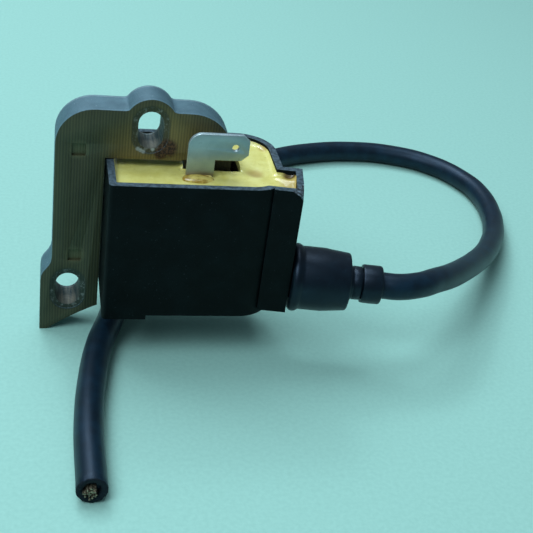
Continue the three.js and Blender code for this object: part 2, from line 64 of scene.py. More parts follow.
def makeCamera(view):
    camera = bpy.data.objects.new("benchCamera", bpy.data.cameras.new("benchCamera"))
    bpy.context.scene.collection.objects.link(camera)
    turn = Matrix.Rotation(math.radians(-view["turnRight"]), 4, "Z")
    tilt = Matrix.Rotation(math.radians(90 - view["tiltDown"]), 4, "X")
    roll = Matrix.Rotation(math.radians(view["roll"]), 4, "Z")
    camera.matrix_world = Matrix.Translation(atMm(*view["place"])) @ turn @ tilt @ roll
    camera.data.lens = view["lens"]
    camera.data.clip_start = view["nearest"] * mm
    bpy.context.scene.camera = camera


makeCamera(cameraView)
print("camera placed")


def toLinear(hexColour):
    channels = [int(hexColour[i:i + 2], 16) / 255 for i in (1, 3, 5)]
    return [c / 12.92 if c <= 0.04045 else ((c + 0.055) / 1.055) ** 2.4 for c in channels] + [1.0]


def perMm(size):
    return 1 / (size * mm)  # texture scale whose features are about this many millimetres


def bandsPerMm(pitch):
    return math.pi / 10 * perMm(pitch)  # at a scale of 1 a wave texture's bands lie pi / 10 apart


def addNode(tree, kind, settings=None, **inputs):
    # inputs are given by socket name, or by in0, in1 where sockets share a name
    node = tree.nodes.new(kind)
    for name, value in (settings or {}).items():
        setattr(node, name, value)
    for name, value in inputs.items():
        socket = node.inputs[int(name[2:])] if name[:2] == "in" else node.inputs[name.replace("_", " ")]
        if isinstance(value, bpy.types.NodeSocket):
            tree.links.new(value, socket)
        else:
            socket.default_value = value
    return node


def startMaterial(name, **surface):
    material = bpy.data.materials.new(name)
    material.use_nodes = True
    tree = material.node_tree
    tree.nodes.clear()
    shader = addNode(tree, "ShaderNodeBsdfPrincipled")
    for socket, value in surface.items():
        shader.inputs[socket.replace("_", " ")].default_value = value
    addNode(tree, "ShaderNodeOutputMaterial", Surface=shader.outputs[0])
    place = addNode(tree, "ShaderNodeTexCoord").outputs["Object"]
    return material, tree, shader, place


def mixColours(tree, share, low, high):
    colours = {6: low, 7: high}  # the Mix node's two colour sockets; the mixed colour leaves by 2
    node = addNode(tree, "ShaderNodeMix", {"data_type": "RGBA"}, in0=share)
    for index, colour in colours.items():
        if isinstance(colour, bpy.types.NodeSocket):
            tree.links.new(colour, node.inputs[index])
        else:
            node.inputs[index].default_value = toLinear(colour)
    return node.outputs[2]


def mixValues(tree, share, low, high):
    # low where share is 0, high where it is 1
    return addNode(tree, "ShaderNodeMapRange", in0=share, in3=low, in4=high).outputs[0]


def maths(tree, operation, first, second=0.0):
    return addNode(tree, "ShaderNodeMath", {"operation": operation}, in0=first, in1=second).outputs[0]


def between(tree, value, low, high):
    # 0 below low, 1 above high, smooth in between; low may be the larger
    node = addNode(tree, "ShaderNodeMapRange", {"interpolation_type": "SMOOTHSTEP"},
                   in0=value, in1=low, in2=high)
    return node.outputs[0]


def speckle(tree, place, size, detail=3.0, roughness=0.55):
    node = addNode(tree, "ShaderNodeTexNoise", Vector=place, Scale=perMm(size), Detail=detail,
                   Roughness=roughness)
    return node.outputs["Fac"]


def finishSurface(tree, shader, colour, roughness, height=None, depth=0.02):
    tree.links.new(colour, shader.inputs["Base Color"])
    tree.links.new(roughness, shader.inputs["Roughness"])
    if height is not None:
        bump = addNode(tree, "ShaderNodeBump", Height=height, Distance=depth * mm, Strength=1.0)
        tree.links.new(bump.outputs[0], shader.inputs["Normal"])


spotHeart = 0.35  # share of a spot's reach that is wholly covered


def spotMask(tree, place, centre, reach):
    # 1 at the middle of a spot, falling to 0 at its reach; all in millimetres
    away = addNode(tree, "ShaderNodeVectorMath", {"operation": "DISTANCE"}, in0=place, in1=atMm(*centre))
    return between(tree, away.outputs["Value"], reach * mm, reach * spotHeart * mm)


coreLook = {  # lengths and places in millimetres
    "rollLines": 0.5,
    "blotch": 7.0,
    "grain": 0.35,
    "faceDark": "#2B3020",
    "faceLight": "#4E4F34",
    "faceWarm": "#94824A",
    "warmSpot": ((-10.5, -0.4, 36.0), 13.0),
    "rust": "#24160E",
    "rustLight": "#5A4028",
    "rustSpots": [((-10.3, -0.4, 38.5), 2.3), ((-11.4, -0.4, 37.4), 1.4)],
    "rustCrumbs": 0.42,
    "rustEdge": 1.3,
    "ring": "#1C2A26",
    "ringEdge": (3.6, 3.0),
    "pressed": "#646646",
    "dimples": [(-25.399, 16.4), (-25.399, 37.6)],
    "dimpleReach": 2.3,
    "worn": "#A9B2AE",
    "wornEdge": (3.3, 2.9),
    "wornPatches": 0.7,
    "scrapes": [(-15.4, 38.2), (-14.9, 37.95), (-14.4, 37.7), (-12.8, 38.2)],
    "scrapeReach": 0.5,
    "resinFilmAndShade": "#060806",
    "filmAndShadeTop": (36.6, 36.35),
    "filmAndShadeSide": (-7.6, -7.3),
    "edgeDark": "#48656F",
    "edgeLight": "#56757E",
    "edgeWornAndHighlit": "#A5BBC0",
    "slotBoreShade": "#2C4242",
    "slotLight": "#848272",
    "slotJoint": "#141C1E",
    "slotWall": (2.45, 2.3),
    "slotFoot": 3.45,
    "slotFootReach": 2.6,
    "sheetPitch": 0.527,
    "upperSlot": {"x": -13.349, "z": 41.75, "straight": 1.25},
    "lowerSlot": {"x": -26.399, "z": 9.0, "straight": 1.25},
}


def slotDistance(tree, place, slot):
    # distance from the straight line at the middle of a screw slot
    split = addNode(tree, "ShaderNodeSeparateXYZ", Vector=place)
    across = maths(tree, "SUBTRACT", split.outputs[0], slot["x"] * mm)
    along = maths(tree, "ABSOLUTE", maths(tree, "SUBTRACT", split.outputs[2], slot["z"] * mm))
    past = maths(tree, "MAXIMUM", maths(tree, "SUBTRACT", along, slot["straight"] * mm))
    squares = maths(tree, "ADD", maths(tree, "MULTIPLY", across, across), maths(tree, "MULTIPLY", past, past))
    return maths(tree, "SQRT", squares)


# Silicon steel with a baked varnish, olive brown: rolling lines, screw rubs, rust by the upper slot.
def varnishedSteel(look):
    material, tree, shader, place = startMaterial("varnishedSiliconSteel", Metallic=0.3, Coat_Weight=0.15,
                                                  Coat_Roughness=0.4)
    rows = addNode(tree, "ShaderNodeTexWave", {"bands_direction": "X"}, Vector=place,
                   Scale=bandsPerMm(look["rollLines"]), Distortion=0.6, Detail=2.0,
                   Detail_Scale=1.4).outputs["Fac"]
    upright = addNode(tree, "ShaderNodeMapping", Vector=place, Scale=(1.0, 1.0, 0.03)).outputs[0]
    streaks = speckle(tree, upright, look["rollLines"] * 1.3, 3.0, 0.6)
    blotch = speckle(tree, place, look["blotch"], 4.0)
    grain = speckle(tree, place, look["grain"], 4.0, 0.7)
    lines = maths(tree, "ADD", maths(tree, "MULTIPLY", rows, 0.24), maths(tree, "MULTIPLY", streaks, 0.3))
    lines = maths(tree, "ADD", lines, maths(tree, "MULTIPLY", blotch, 0.42))
    colour = mixColours(tree, between(tree, lines, 0.15, 0.85), look["faceDark"], look["faceLight"])
    warm = maths(tree, "MULTIPLY", spotMask(tree, place, *look["warmSpot"]), 0.8)
    warm = maths(tree, "MULTIPLY", warm, maths(tree, "ADD", lines, 0.1))
    colour = mixColours(tree, warm, colour, look["faceWarm"])
    height = maths(tree, "ADD", maths(tree, "MULTIPLY", rows, 0.4), maths(tree, "MULTIPLY", grain, 0.6))
    rough = mixValues(tree, grain, 0.45, 0.7)

    # a painted shadow rings each screw slot, and the screw heads rubbed the varnish through
    patchy = between(tree, speckle(tree, place, look["wornPatches"], 5.0, 0.7), 0.5, 0.62)
    for slot in (look["upperSlot"], look["lowerSlot"]):
        away = slotDistance(tree, place, slot)
        outer, inner = look["ringEdge"]
        ringShadow = between(tree, away, outer * mm, inner * mm)
        colour = mixColours(tree, maths(tree, "MULTIPLY", ringShadow, 0.7), colour, look["ring"])
        outer, inner = look["wornEdge"]
        rubbed = maths(tree, "MULTIPLY", between(tree, away, outer * mm, inner * mm), patchy)
        colour = mixColours(tree, maths(tree, "MULTIPLY", rubbed, 0.3), colour, look["worn"])

    crumbs = speckle(tree, place, look["rustCrumbs"], 3.0, 0.7)
    crust = between(tree, crumbs, 0.42, 0.56)
    edgeNoise = speckle(tree, place, look["rustEdge"], 3.0)
    for centre, reach in look["rustSpots"]:
        spot = spotMask(tree, place, centre, reach)
        patch = maths(tree, "MULTIPLY", spot, between(tree, edgeNoise, 0.3, 0.45))
        granular = mixColours(tree, crust, look["rust"], look["rustLight"])
        share = addNode(tree, "ShaderNodeMath", {"operation": "MULTIPLY", "use_clamp": True},
                        in0=patch, in1=1.4)
        colour = mixColours(tree, share.outputs[0], colour, granular)
        raised = maths(tree, "MULTIPLY", maths(tree, "MULTIPLY", patch, crust), 3.0)
        height = maths(tree, "ADD", height, raised)

    for x, z in look["scrapes"]:
        bare = maths(tree, "MULTIPLY", spotMask(tree, place, (x, -0.4, z), look["scrapeReach"]), 0.75)
        colour = mixColours(tree, bare, colour, look["worn"])
    # painted light lifts the floor of each dimple, which the lamps barely reach
    for x, z in look["dimples"]:
        pressed = maths(tree, "MULTIPLY", spotMask(tree, place, (x, -0.1, z), look["dimpleReach"]), 0.6)
        colour = mixColours(tree, pressed, colour, look["pressed"])

    # resin film has crept up the foot of the inner leg, and painted shade darkens it further under the
    # terminal's arm and the yoke
    split = addNode(tree, "ShaderNodeSeparateXYZ", Vector=place)
    clear, covered = look["filmAndShadeTop"]
    low = between(tree, split.outputs[2], clear * mm, covered * mm)
    clear, covered = look["filmAndShadeSide"]
    onLeg = between(tree, split.outputs[0], clear * mm, covered * mm)
    colour = mixColours(tree, maths(tree, "MULTIPLY", low, onLeg), colour, look["resinFilmAndShade"])
    finishSurface(tree, shader, colour, rough, height, 0.05)
    return material


# Sheet edges, blued by the anneal: satin blue grey with pale flecks, the joints showing inside the slots.
def bluedEdges(look):
    material, tree, shader, place = startMaterial("bluedSheetEdges", Metallic=0.25)
    cloudy = speckle(tree, place, 3.0, 4.0)
    fine = speckle(tree, place, 0.25, 3.0, 0.7)
    colour = mixColours(tree, between(tree, cloudy, 0.25, 0.75), look["edgeDark"], look["edgeLight"])
    fleck = between(tree, speckle(tree, place, 0.5, 2.0), 0.7, 0.76)
    colour = mixColours(tree, maths(tree, "MULTIPLY", fleck, 0.4), colour, look["edgeWornAndHighlit"])
    through = addNode(tree, "ShaderNodeMapping", Vector=place, Scale=(1.0, 0.08, 1.0)).outputs[0]
    drawn = between(tree, speckle(tree, through, 0.45, 3.0, 0.6), 0.35, 0.65)
    sheets = addNode(tree, "ShaderNodeTexWave", {"bands_direction": "Y"}, Vector=place,
                     Scale=bandsPerMm(look["sheetPitch"]), Distortion=0.3,
                     Detail=1.0).outputs["Fac"]
    joint = maths(tree, "MULTIPLY", between(tree, sheets, 0.35, 0.05), 0.45)
    # painted shade darkens the bore of each slot, lighter along drawn marks and at its foot
    for slot in (look["upperSlot"], look["lowerSlot"]):
        outer, inner = look["slotWall"]
        inside = between(tree, slotDistance(tree, place, slot), outer * mm, inner * mm)
        foot = spotMask(tree, place, (slot["x"], 1.0, slot["z"] - look["slotFoot"]), look["slotFootReach"])
        light = maths(tree, "ADD", maths(tree, "MULTIPLY", drawn, 0.45), maths(tree, "MULTIPLY", foot, 0.5))
        bore = mixColours(tree, light, look["slotBoreShade"], look["slotLight"])
        bore = mixColours(tree, joint, bore, look["slotJoint"])
        colour = mixColours(tree, inside, colour, bore)
    # bevelled sheet edges are worn bright and also carry a painted highlight
    rubbed = addNode(tree, "ShaderNodeAttribute", {"attribute_name": "edgeWearAndHighlight"}).outputs["Fac"]
    colour = mixColours(tree, maths(tree, "MULTIPLY", rubbed, 0.7), colour, look["edgeWornAndHighlit"])
    finishSurface(tree, shader, colour, mixValues(tree, fine, 0.45, 0.68), fine, 0.03)
    return material


housingLook = {
    "skin": "#03090A",
    "dusty": "#061012",
    "worn": "#6A7E89",
    "chips": "#C4D2D9",
    "scuff": "#5A6C70",
    "brokenDark": "#101B21",
    "brokenLight": "#8398A3",
    "rim": 35.95,
    "rimWearAndHighlight": (0.6, 0.1),  # below the rim: where it starts, where it is full
    "rimTop": (35.85, 35.93),
    "mouth": ((9.8, -9.8, 36.0), 6.5),
}


# Glass-filled nylon where it broke: grey, coarse and dry.
def brokenNylon(look):
    material, tree, shader, place = startMaterial("brokenGlassFilledNylon", IOR=1.5)
    coarse = speckle(tree, place, 0.7, 5.0, 0.7)
    colour = mixColours(tree, between(tree, coarse, 0.4, 0.7), look["brokenDark"], look["brokenLight"])
    finishSurface(tree, shader, colour, mixValues(tree, coarse, 0.45, 0.7), coarse, 0.5)
    return material


# Glass-filled nylon, black: fine spark-eroded texture, the top of the rim worn grey and given a painted
# highlight.
def blackNylon(look):
    material, tree, shader, place = startMaterial("blackGlassFilledNylon", IOR=1.5, Specular_IOR_Level=0.1)
    grain = speckle(tree, place, 0.22, 3.0, 0.6)
    cloudy = speckle(tree, place, 5.0, 4.0)
    colour = mixColours(tree, between(tree, cloudy, 0.35, 0.75), look["skin"], look["dusty"])
    rubbed = addNode(tree, "ShaderNodeAttribute", {"attribute_name": "edgeWearAndHighlight"}).outputs["Fac"]
    split = addNode(tree, "ShaderNodeSeparateXYZ", Vector=place)
    start, full = look["rimWearAndHighlight"]
    nearRim = between(tree, split.outputs[2], (look["rim"] - start) * mm, (look["rim"] - full) * mm)
    broken = between(tree, speckle(tree, place, 0.8, 5.0, 0.7), 0.36, 0.66)
    start, full = look["rimTop"]
    # the rim's flat top and its bevelled edges: worn grey, with a painted highlight along them
    flat = maths(tree, "MULTIPLY", between(tree, split.outputs[2], start * mm, full * mm), 0.6)
    edges = maths(tree, "MAXIMUM", maths(tree, "MULTIPLY", rubbed, nearRim), flat)
    rimShare = maths(tree, "MULTIPLY", edges, mixValues(tree, broken, 0.35, 1.0))
    edgeShare = maths(tree, "MULTIPLY", maths(tree, "MULTIPLY", rubbed, 0.30), broken)
    colour = mixColours(tree, maths(tree, "MAXIMUM", rimShare, edgeShare), colour, look["worn"])
    scuff = between(tree, speckle(tree, place, 0.3, 2.0), 0.71, 0.76)
    colour = mixColours(tree, maths(tree, "MULTIPLY", scuff, 0.25), colour, look["scuff"])
    # the mouth of the tower is nicked
    nicked = maths(tree, "MULTIPLY", spotMask(tree, place, *look["mouth"]), nearRim)
    chips = maths(tree, "MULTIPLY", nicked, between(tree, speckle(tree, place, 0.5, 3.0, 0.65), 0.52, 0.6))
    colour = mixColours(tree, maths(tree, "MULTIPLY", chips, rubbed), colour, look["chips"])
    finishSurface(tree, shader, colour, mixValues(tree, grain, 0.42, 0.66), grain, 0.03)
    return material


pottingLook = {
    "cream": "#E8E086",
    "shade": "#D8CC68",
    "amber": "#B08A3C",
    "amberSpots": [
        ((12.2, -5.0, 35.2), 4.2),
        ((-4.8, -3.6, 34.9), 3.4),
        ((5.6, -1.3, 34.9), 2.2),
        ((9.2, 8.6, 35.2), 2.0),
    ],
    "pocketSpot": ((11.9, -2.3, 35.0), 2.0),
    "deepAmber": "#6A5222",
    "sunkShade": "#1E1A0C",
    "sunkShadeDepth": (34.3, 33.9),
    "dirt": "#6B5A2C",
}


# Cast epoxy, opaque cream: gloss left by the cure, amber where the clear resin pooled.
def castEpoxy(look):
    material, tree, shader, place = startMaterial("castCreamEpoxy", IOR=1.52, Coat_Weight=0.7,
                                                  Coat_Roughness=0.1)
    cloudy = speckle(tree, place, 4.5, 4.0)
    fine = speckle(tree, place, 0.6, 4.0, 0.6)
    wide = maths(tree, "MULTIPLY", cloudy, 0.7)
    patchy = maths(tree, "ADD", wide, maths(tree, "MULTIPLY", speckle(tree, place, 1.4, 3.0), 0.3))
    colour = mixColours(tree, between(tree, patchy, 0.35, 0.65), look["shade"], look["cream"])
    for centre, reach in look["amberSpots"]:
        spot = spotMask(tree, place, centre, reach)
        pool = maths(tree, "MULTIPLY", spot, mixValues(tree, cloudy, 0.35, 0.95))
        colour = mixColours(tree, pool, colour, look["amber"])
    split = addNode(tree, "ShaderNodeSeparateXYZ", Vector=place)
    colour = mixColours(tree, spotMask(tree, place, *look["pocketSpot"]), colour, look["deepAmber"])
    # painted shade darkens the potting wherever it lies low, in the trench before the leg and the deep dip in
    # the tower
    top, bottom = look["sunkShadeDepth"]
    sunk = between(tree, split.outputs[2], top * mm, bottom * mm)
    colour = mixColours(tree, sunk, colour, look["sunkShade"])
    dirt = between(tree, speckle(tree, place, 0.45, 2.0), 0.70, 0.76)
    colour = mixColours(tree, maths(tree, "MULTIPLY", dirt, 0.5), colour, look["dirt"])
    skin = maths(tree, "ADD", maths(tree, "MULTIPLY", fine, 0.4), patchy)
    finishSurface(tree, shader, colour, mixValues(tree, fine, 0.28, 0.48), skin, 0.14)
    return material


terminalLook = {
    "dull": "#93A5A8",
    "clean": "#A4B5B7",
    "shearedAndHighlit": "#F4F7F6",
    "stain": "#5C665C",
    "film": "#8A7C58",
    "filmEdge": (36.4, 35.4),
    "beadDark": "#A5832C",
    "beadLight": "#DCC566",
}


# Clear resin bead, amber and wet looking, round the terminal's foot.
def amberResin(look):
    material, tree, shader, place = startMaterial("amberResinBead", IOR=1.54, Coat_Weight=1.0,
                                                  Coat_Roughness=0.04)
    cloudy = speckle(tree, place, 1.2, 3.0)
    colour = mixColours(tree, between(tree, cloudy, 0.35, 0.65), look["beadDark"], look["beadLight"])
    finishSurface(tree, shader, colour, mixValues(tree, cloudy, 0.05, 0.16), cloudy, 0.12)
    return material


# Tinned brass strip, stamped: dull grey green with hairline scratches, resin film round the foot.
def tinnedBrass(look):
    material, tree, shader, place = startMaterial("tinnedBrassStrip", Metallic=0.65, Anisotropic=0.3)
    cloudy = speckle(tree, place, 2.4, 4.0)
    stretch = addNode(tree, "ShaderNodeMapping", Vector=place, Scale=(0.06, 1.0, 1.0)).outputs[0]
    hair = speckle(tree, stretch, 0.09, 3.0, 0.7)
    colour = mixColours(tree, between(tree, cloudy, 0.2, 0.8), look["dull"], look["clean"])
    # bevelled edges: bright sheared metal, with a near-white painted highlight on it
    rubbed = addNode(tree, "ShaderNodeAttribute", {"attribute_name": "edgeWearAndHighlight"}).outputs["Fac"]
    colour = mixColours(tree, maths(tree, "MULTIPLY", rubbed, 0.9), colour, look["shearedAndHighlit"])
    stain = between(tree, speckle(tree, place, 0.7, 3.0), 0.64, 0.72)
    colour = mixColours(tree, maths(tree, "MULTIPLY", stain, 0.18), colour, look["stain"])
    split = addNode(tree, "ShaderNodeSeparateXYZ", Vector=place)
    clear, covered = look["filmEdge"]
    film = between(tree, split.outputs[2], clear * mm, covered * mm)
    colour = mixColours(tree, maths(tree, "MULTIPLY", film, 0.75), colour, look["film"])
    finishSurface(tree, shader, colour, mixValues(tree, hair, 0.34, 0.52), hair, 0.01)
    return material


# Moulded nitrile rubber, blue black with a faint bloom.
def mouldedRubber(name, dark, light, low, high):
    material, tree, shader, place = startMaterial(name, IOR=1.5, Specular_IOR_Level=0.55,
                                                  Specular_Tint=toLinear("#A4BCD6"))
    cloudy = speckle(tree, place, 2.6, 4.0)
    grain = speckle(tree, place, 0.16, 3.0, 0.6)
    colour = mixColours(tree, between(tree, cloudy, 0.3, 0.75), dark, light)
    bloom = between(tree, speckle(tree, place, 0.9, 4.0), 0.58, 0.75)
    colour = mixColours(tree, maths(tree, "MULTIPLY", bloom, 0.14), colour, "#2C4250")
    finishSurface(tree, shader, colour, mixValues(tree, grain, low, high), grain, 0.02)
    return material


# Bunched copper strands gone dull, with tan dust from the cut.
def tarnishedStrand():
    material, tree, shader, place = startMaterial("tarnishedStrand", Metallic=0.6)
    cloudy = speckle(tree, place, 0.3, 3.0)
    colour = mixColours(tree, between(tree, cloudy, 0.35, 0.65), "#4E4A3E", "#A69C82")
    finishSurface(tree, shader, colour, mixValues(tree, cloudy, 0.35, 0.6), cloudy, 0.02)
    return material


# Enamelled winding wire, one turn beside another; drawn at 0.3 mm so that the turns show.
def enamelledWire(name, dark, light, pitch):
    material, tree, shader, place = startMaterial(name, Metallic=0.7, Coat_Weight=0.6, Coat_Roughness=0.2)
    turns = addNode(tree, "ShaderNodeTexWave", {"bands_direction": "Z"}, Vector=place,
                    Scale=bandsPerMm(pitch), Distortion=0.3, Detail=1.0).outputs["Fac"]
    colour = mixColours(tree, turns, dark, light)
    finishSurface(tree, shader, colour, mixValues(tree, turns, 0.45, 0.25), turns, 0.08)
    return material


# Small hidden parts: a moulded, printed or turned surface with its own mottle and grain.
def plainStock(name, dark, light, size, low, high, metallic=0.0):
    material, tree, shader, place = startMaterial(name, Metallic=metallic)
    cloudy = speckle(tree, place, size, 4.0)
    grain = speckle(tree, place, size / 8, 3.0, 0.6)
    colour = mixColours(tree, between(tree, cloudy, 0.3, 0.7), dark, light)
    finishSurface(tree, shader, colour, mixValues(tree, grain, low, high), grain, 0.02)
    return material


steelFace = varnishedSteel(coreLook)
steelEdge = bluedEdges(coreLook)
nylon = blackNylon(housingLook)
epoxy = castEpoxy(pottingLook)
bead = amberResin(terminalLook)
nylonBreak = brokenNylon(housingLook)
tinned = tinnedBrass(terminalLook)
bootRubber = mouldedRubber("mouldedNitrileRubber", "#040B11", "#09151D", 0.3, 0.46)
leadSkin = mouldedRubber("extrudedLeadJacket", "#07151E", "#0D2432", 0.34, 0.5)
tornSkin = mouldedRubber("tornLeadJacket", "#020506", "#0B1315", 0.6, 0.8)
strand = tarnishedStrand()
print("materials made")


def copyNode(name, weld=0.002):
    # the CAD solid with its triangles welded and its flat faces made whole
    bm = bmesh.new()
    bm.from_mesh(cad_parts[name].data)
    bmesh.ops.remove_doubles(bm, verts=bm.verts, dist=weld * mm)
    bmesh.ops.dissolve_limit(bm, angle_limit=math.radians(0.8), verts=bm.verts, edges=bm.edges)
    return bm


def softenEdges(bm, width, segments=2, sharper=32, keep=lambda edge: True):
    edges = [e for e in bm.edges if e.is_manifold and e.calc_face_angle() > math.radians(sharper) and keep(e)]
    made = bmesh.ops.bevel(bm, geom=edges, offset=width * mm, offset_type="OFFSET", segments=segments,
                           profile=0.5, affect="EDGES", clamp_overlap=True, material=-1)
    return made["faces"]


# marks bevel faces, where the materials paint both real wear and a painted highlight
def markEdgeWearAndHighlight(bm, faces):
    wear = bm.loops.layers.float.new("edgeWearAndHighlight")
    for face in faces:
        for loop in face.loops:
            loop[wear] = 1.0


def finishPiece(name, bm, materials, stoodFor=(), smoothTo=35):
    mesh = bpy.data.meshes.new(name)
    bm.to_mesh(mesh)
    bm.free()
    mesh.shade_smooth()
    mesh.set_sharp_from_angle(angle=math.radians(smoothTo))
    for material in materials:
        mesh.materials.append(material)
    piece = bpy.data.objects.new(name, mesh)
    bpy.context.scene.collection.objects.link(piece)
    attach(piece, body)
    if stoodFor:
        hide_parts(*stoodFor)
    return piece


stack = {"sheets": 10, "gap": 0.03, "burr": 0.05, "endBurr": 0.09, "dimple": 1.9}


def faceAndEdge(bm):
    # flat of a sheet takes the first material, its cut edge the second; a dimple stays varnished
    bm.normal_update()
    for face in bm.faces:
        middle = face.calc_center_median() / mm
        inDimple = any(math.dist((middle.x, middle.z), place) < stack["dimple"]
                       for place in coreLook["dimples"])
        face.material_index = 0 if abs(face.normal.y) > 0.8 or inDimple else 1


def makeEndSheet(name, node):
    bm = copyNode(node)
    faces = softenEdges(bm, stack["endBurr"])
    faceAndEdge(bm)
    markEdgeWearAndHighlight(bm, [f for f in faces if f.is_valid])
    finishPiece(name, bm, [steelFace, steelEdge], [node])


def makeSheetStack():
    low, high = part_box("core_lamination_pack")
    oldLow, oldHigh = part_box("rear_lamination")
    pitch = (high.y - low.y + stack["gap"] * mm) / stack["sheets"]
    bm = copyNode("rear_lamination")
    bmesh.ops.translate(bm, verts=bm.verts, vec=(0, low.y - oldLow.y, 0))
    thinner = (pitch - stack["gap"] * mm) / (oldHigh.y - oldLow.y)
    bmesh.ops.scale(bm, vec=(1, thinner, 1), verts=bm.verts, space=Matrix.Translation((0, -low.y, 0)))
    softenEdges(bm, stack["burr"], segments=1)
    one = bm.verts[:] + bm.edges[:] + bm.faces[:]
    for step in range(1, stack["sheets"]):
        copy = bmesh.ops.duplicate(bm, geom=one)["geom"]
        moved = [v for v in copy if isinstance(v, bmesh.types.BMVert)]
        bmesh.ops.translate(bm, verts=moved, vec=(0, step * pitch, 0))
    faceAndEdge(bm)
    finishPiece("coreSheets", bm, [steelFace, steelEdge], ["core_lamination_pack"])


makeEndSheet("frontSheet", "front_lamination")
makeEndSheet("rearSheet", "rear_lamination")
makeSheetStack()
print("core made")


shell = {
    "round": 0.26,
    "breaks": [  # a place on each broken slope, and the way the slope faces
        ((10.6, -9.94, 35.95), (0.403, -0.370, 0.837)),
        ((12.2, -10.19, 35.0), (0.70, -0.52, 0.49)),
    ],
}


def makeHousing():
    bm = copyNode("housing_shell")
    # the tower's front corner has broken off along two slopes
    for place, slope in shell["breaks"]:
        every = bm.verts[:] + bm.edges[:] + bm.faces[:]
        made = bmesh.ops.bisect_plane(bm, geom=every, dist=1e-7, plane_co=atMm(*place), plane_no=slope,
                                      clear_outer=True)
        rim = [e for e in made["geom_cut"] if isinstance(e, bmesh.types.BMEdge)]
        for face in bmesh.ops.contextual_create(bm, geom=rim)["faces"]:
            face.material_index = 1
    faces = softenEdges(bm, shell["round"], segments=3,
                        keep=lambda edge: all(face.material_index == 0 for face in edge.link_faces))
    markEdgeWearAndHighlight(bm, [f for f in faces if f.is_valid])
    finishPiece("housing", bm, [nylon, nylonBreak], ["housing_shell"])


makeHousing()
print("housing made")


pour = {
    "level": 34.75,
    "overlap": 0.32,
    "grid": 0.36,
    "climb": 0.62,
    "climbReach": 0.75,
    "climbFall": 2.2,
    "ripple": 0.2,
    "rippleSize": 3.6,
    "pools": [  # x, y, reach, lift
        (6.0, -1.0, 1.8, -0.25),
        (-16.5, -4.0, 3.5, 0.15),
        (7.0, 5.0, 3.0, 0.2),
        (12.9, -4.4, 1.5, 0.7),
        (12.3, -8.7, 2.4, -2.2),
    ],
    "pocket": {"at": (11.9, -2.2), "reach": (1.0, 0.8), "depth": -0.35},
    "ridges": [  # from, to, half width, lift: resin drawn up into lips, and the trench sunk before the leg
        ((9.4, -3.1), (11.6, -5.0), 0.5, 0.28),
        ((-1.7, -1.5), (2.9, -1.3), 0.3, 0.16),
        ((-7.4, -0.7), (2.9, -0.6), 0.32, -1.3),
    ],
}


def offSegment(x, y, start, end):
    along = Vector(end) - Vector(start)
    share = min(1, max(0, (Vector((x, y)) - Vector(start)).dot(along) / along.length_squared))
    return (Vector((x, y)) - Vector(start) - along * share).length


def makePotting():
    bm = copyNode("potting_compound")
    bm.normal_update()
    # swollen into the housing's walls a little, so no gap shows round it
    swollen = [(v, v.normal * v.calc_shell_factor() * pour["overlap"] * mm) for v in bm.verts]
    for vert, push in swollen:
        vert.co += push
    level = pour["level"] * mm
    for vert in bm.verts:
        if vert.co.z > level - 0.5 * mm:
            vert.co.z = level
    low = Vector(min(v.co[i] for v in bm.verts) for i in range(3))
    high = Vector(max(v.co[i] for v in bm.verts) for i in range(3))
    for axis, normal in ((0, (1, 0, 0)), (1, (0, 1, 0))):
        place = low[axis] + pour["grid"] * mm
        while place < high[axis]:
            geometry = bm.verts[:] + bm.edges[:] + bm.faces[:]
            point = [0, 0, 0]
            point[axis] = place
            bmesh.ops.bisect_plane(bm, geom=geometry, dist=1e-7, plane_co=point, plane_no=normal)
            place += pour["grid"] * mm
    top = {v for v in bm.verts if v.co.z > level - 0.05 * mm}
    rims = [v for v in top if any(e.other_vert(v) not in top for e in v.link_edges)]
    tree = KDTree(len(rims))
    for index, vert in enumerate(rims):
        tree.insert(vert.co, index)
    tree.balance()
    pocket = pour["pocket"]
    for vert in top:
        away = tree.find(vert.co)[2] / mm
        rise = pour["climb"] * math.exp(-away / pour["climbReach"] * pour["climbFall"])
        rise += pour["ripple"] * noise.noise(vert.co / (pour["rippleSize"] * mm)) * min(1, away)
        for x, y, reach, lift in pour["pools"]:
            apart = math.hypot(vert.co.x / mm - x, vert.co.y / mm - y)
            rise += lift * math.exp(-(apart / reach) ** 2)
        inward = [(vert.co[i] / mm - pocket["at"][i]) / pocket["reach"][i] for i in range(2)]
        rise += pocket["depth"] * math.exp(-math.hypot(*inward) ** 4)
        for start, end, width, lift in pour["ridges"]:
            apart = offSegment(vert.co.x / mm, vert.co.y / mm, start, end)
            rise += lift * math.exp(-(apart / width) ** 2)
        vert.co.z = level + rise * mm
    bmesh.ops.triangulate(bm, faces=[f for f in bm.faces if len(f.verts) > 4])
    finishPiece("potting", bm, [epoxy], ["potting_compound"], smoothTo=50)


makePotting()
print("potting made")


tab = {
    "shear": 0.14,
    "beadAt": (-4.95, -4.35, 34.7),
    "beadSize": (2.7, 1.7, 0.8),
    "beadLumps": (0.16, 0.8),  # how far they stand out, as a share, and their size
}


def makeTerminal():
    bm = copyNode("stop_terminal")
    faces = softenEdges(bm, tab["shear"])
    markEdgeWearAndHighlight(bm, [f for f in faces if f.is_valid])
    finishPiece("stopTab", bm, [tinned], ["stop_terminal"])


def makeResinBead():
    bm = bmesh.new()
    bmesh.ops.create_uvsphere(bm, u_segments=40, v_segments=20, radius=mm)
    share, size = tab["beadLumps"]
    for vert in bm.verts:
        vert.co *= 1 + share * noise.noise(vert.co / (size * mm) + Vector((3, 1, 2)))
    bmesh.ops.scale(bm, vec=tab["beadSize"], verts=bm.verts)
    bmesh.ops.translate(bm, vec=atMm(*tab["beadAt"]), verts=bm.verts)
    finishPiece("resinBead", bm, [bead], smoothTo=180)


makeTerminal()
makeResinBead()
print("terminal made")


outlet = {"at": (13.501, -5.732, 16.0), "yaw": -9.0, "segments": 96, "wobbleSize": 2.5}

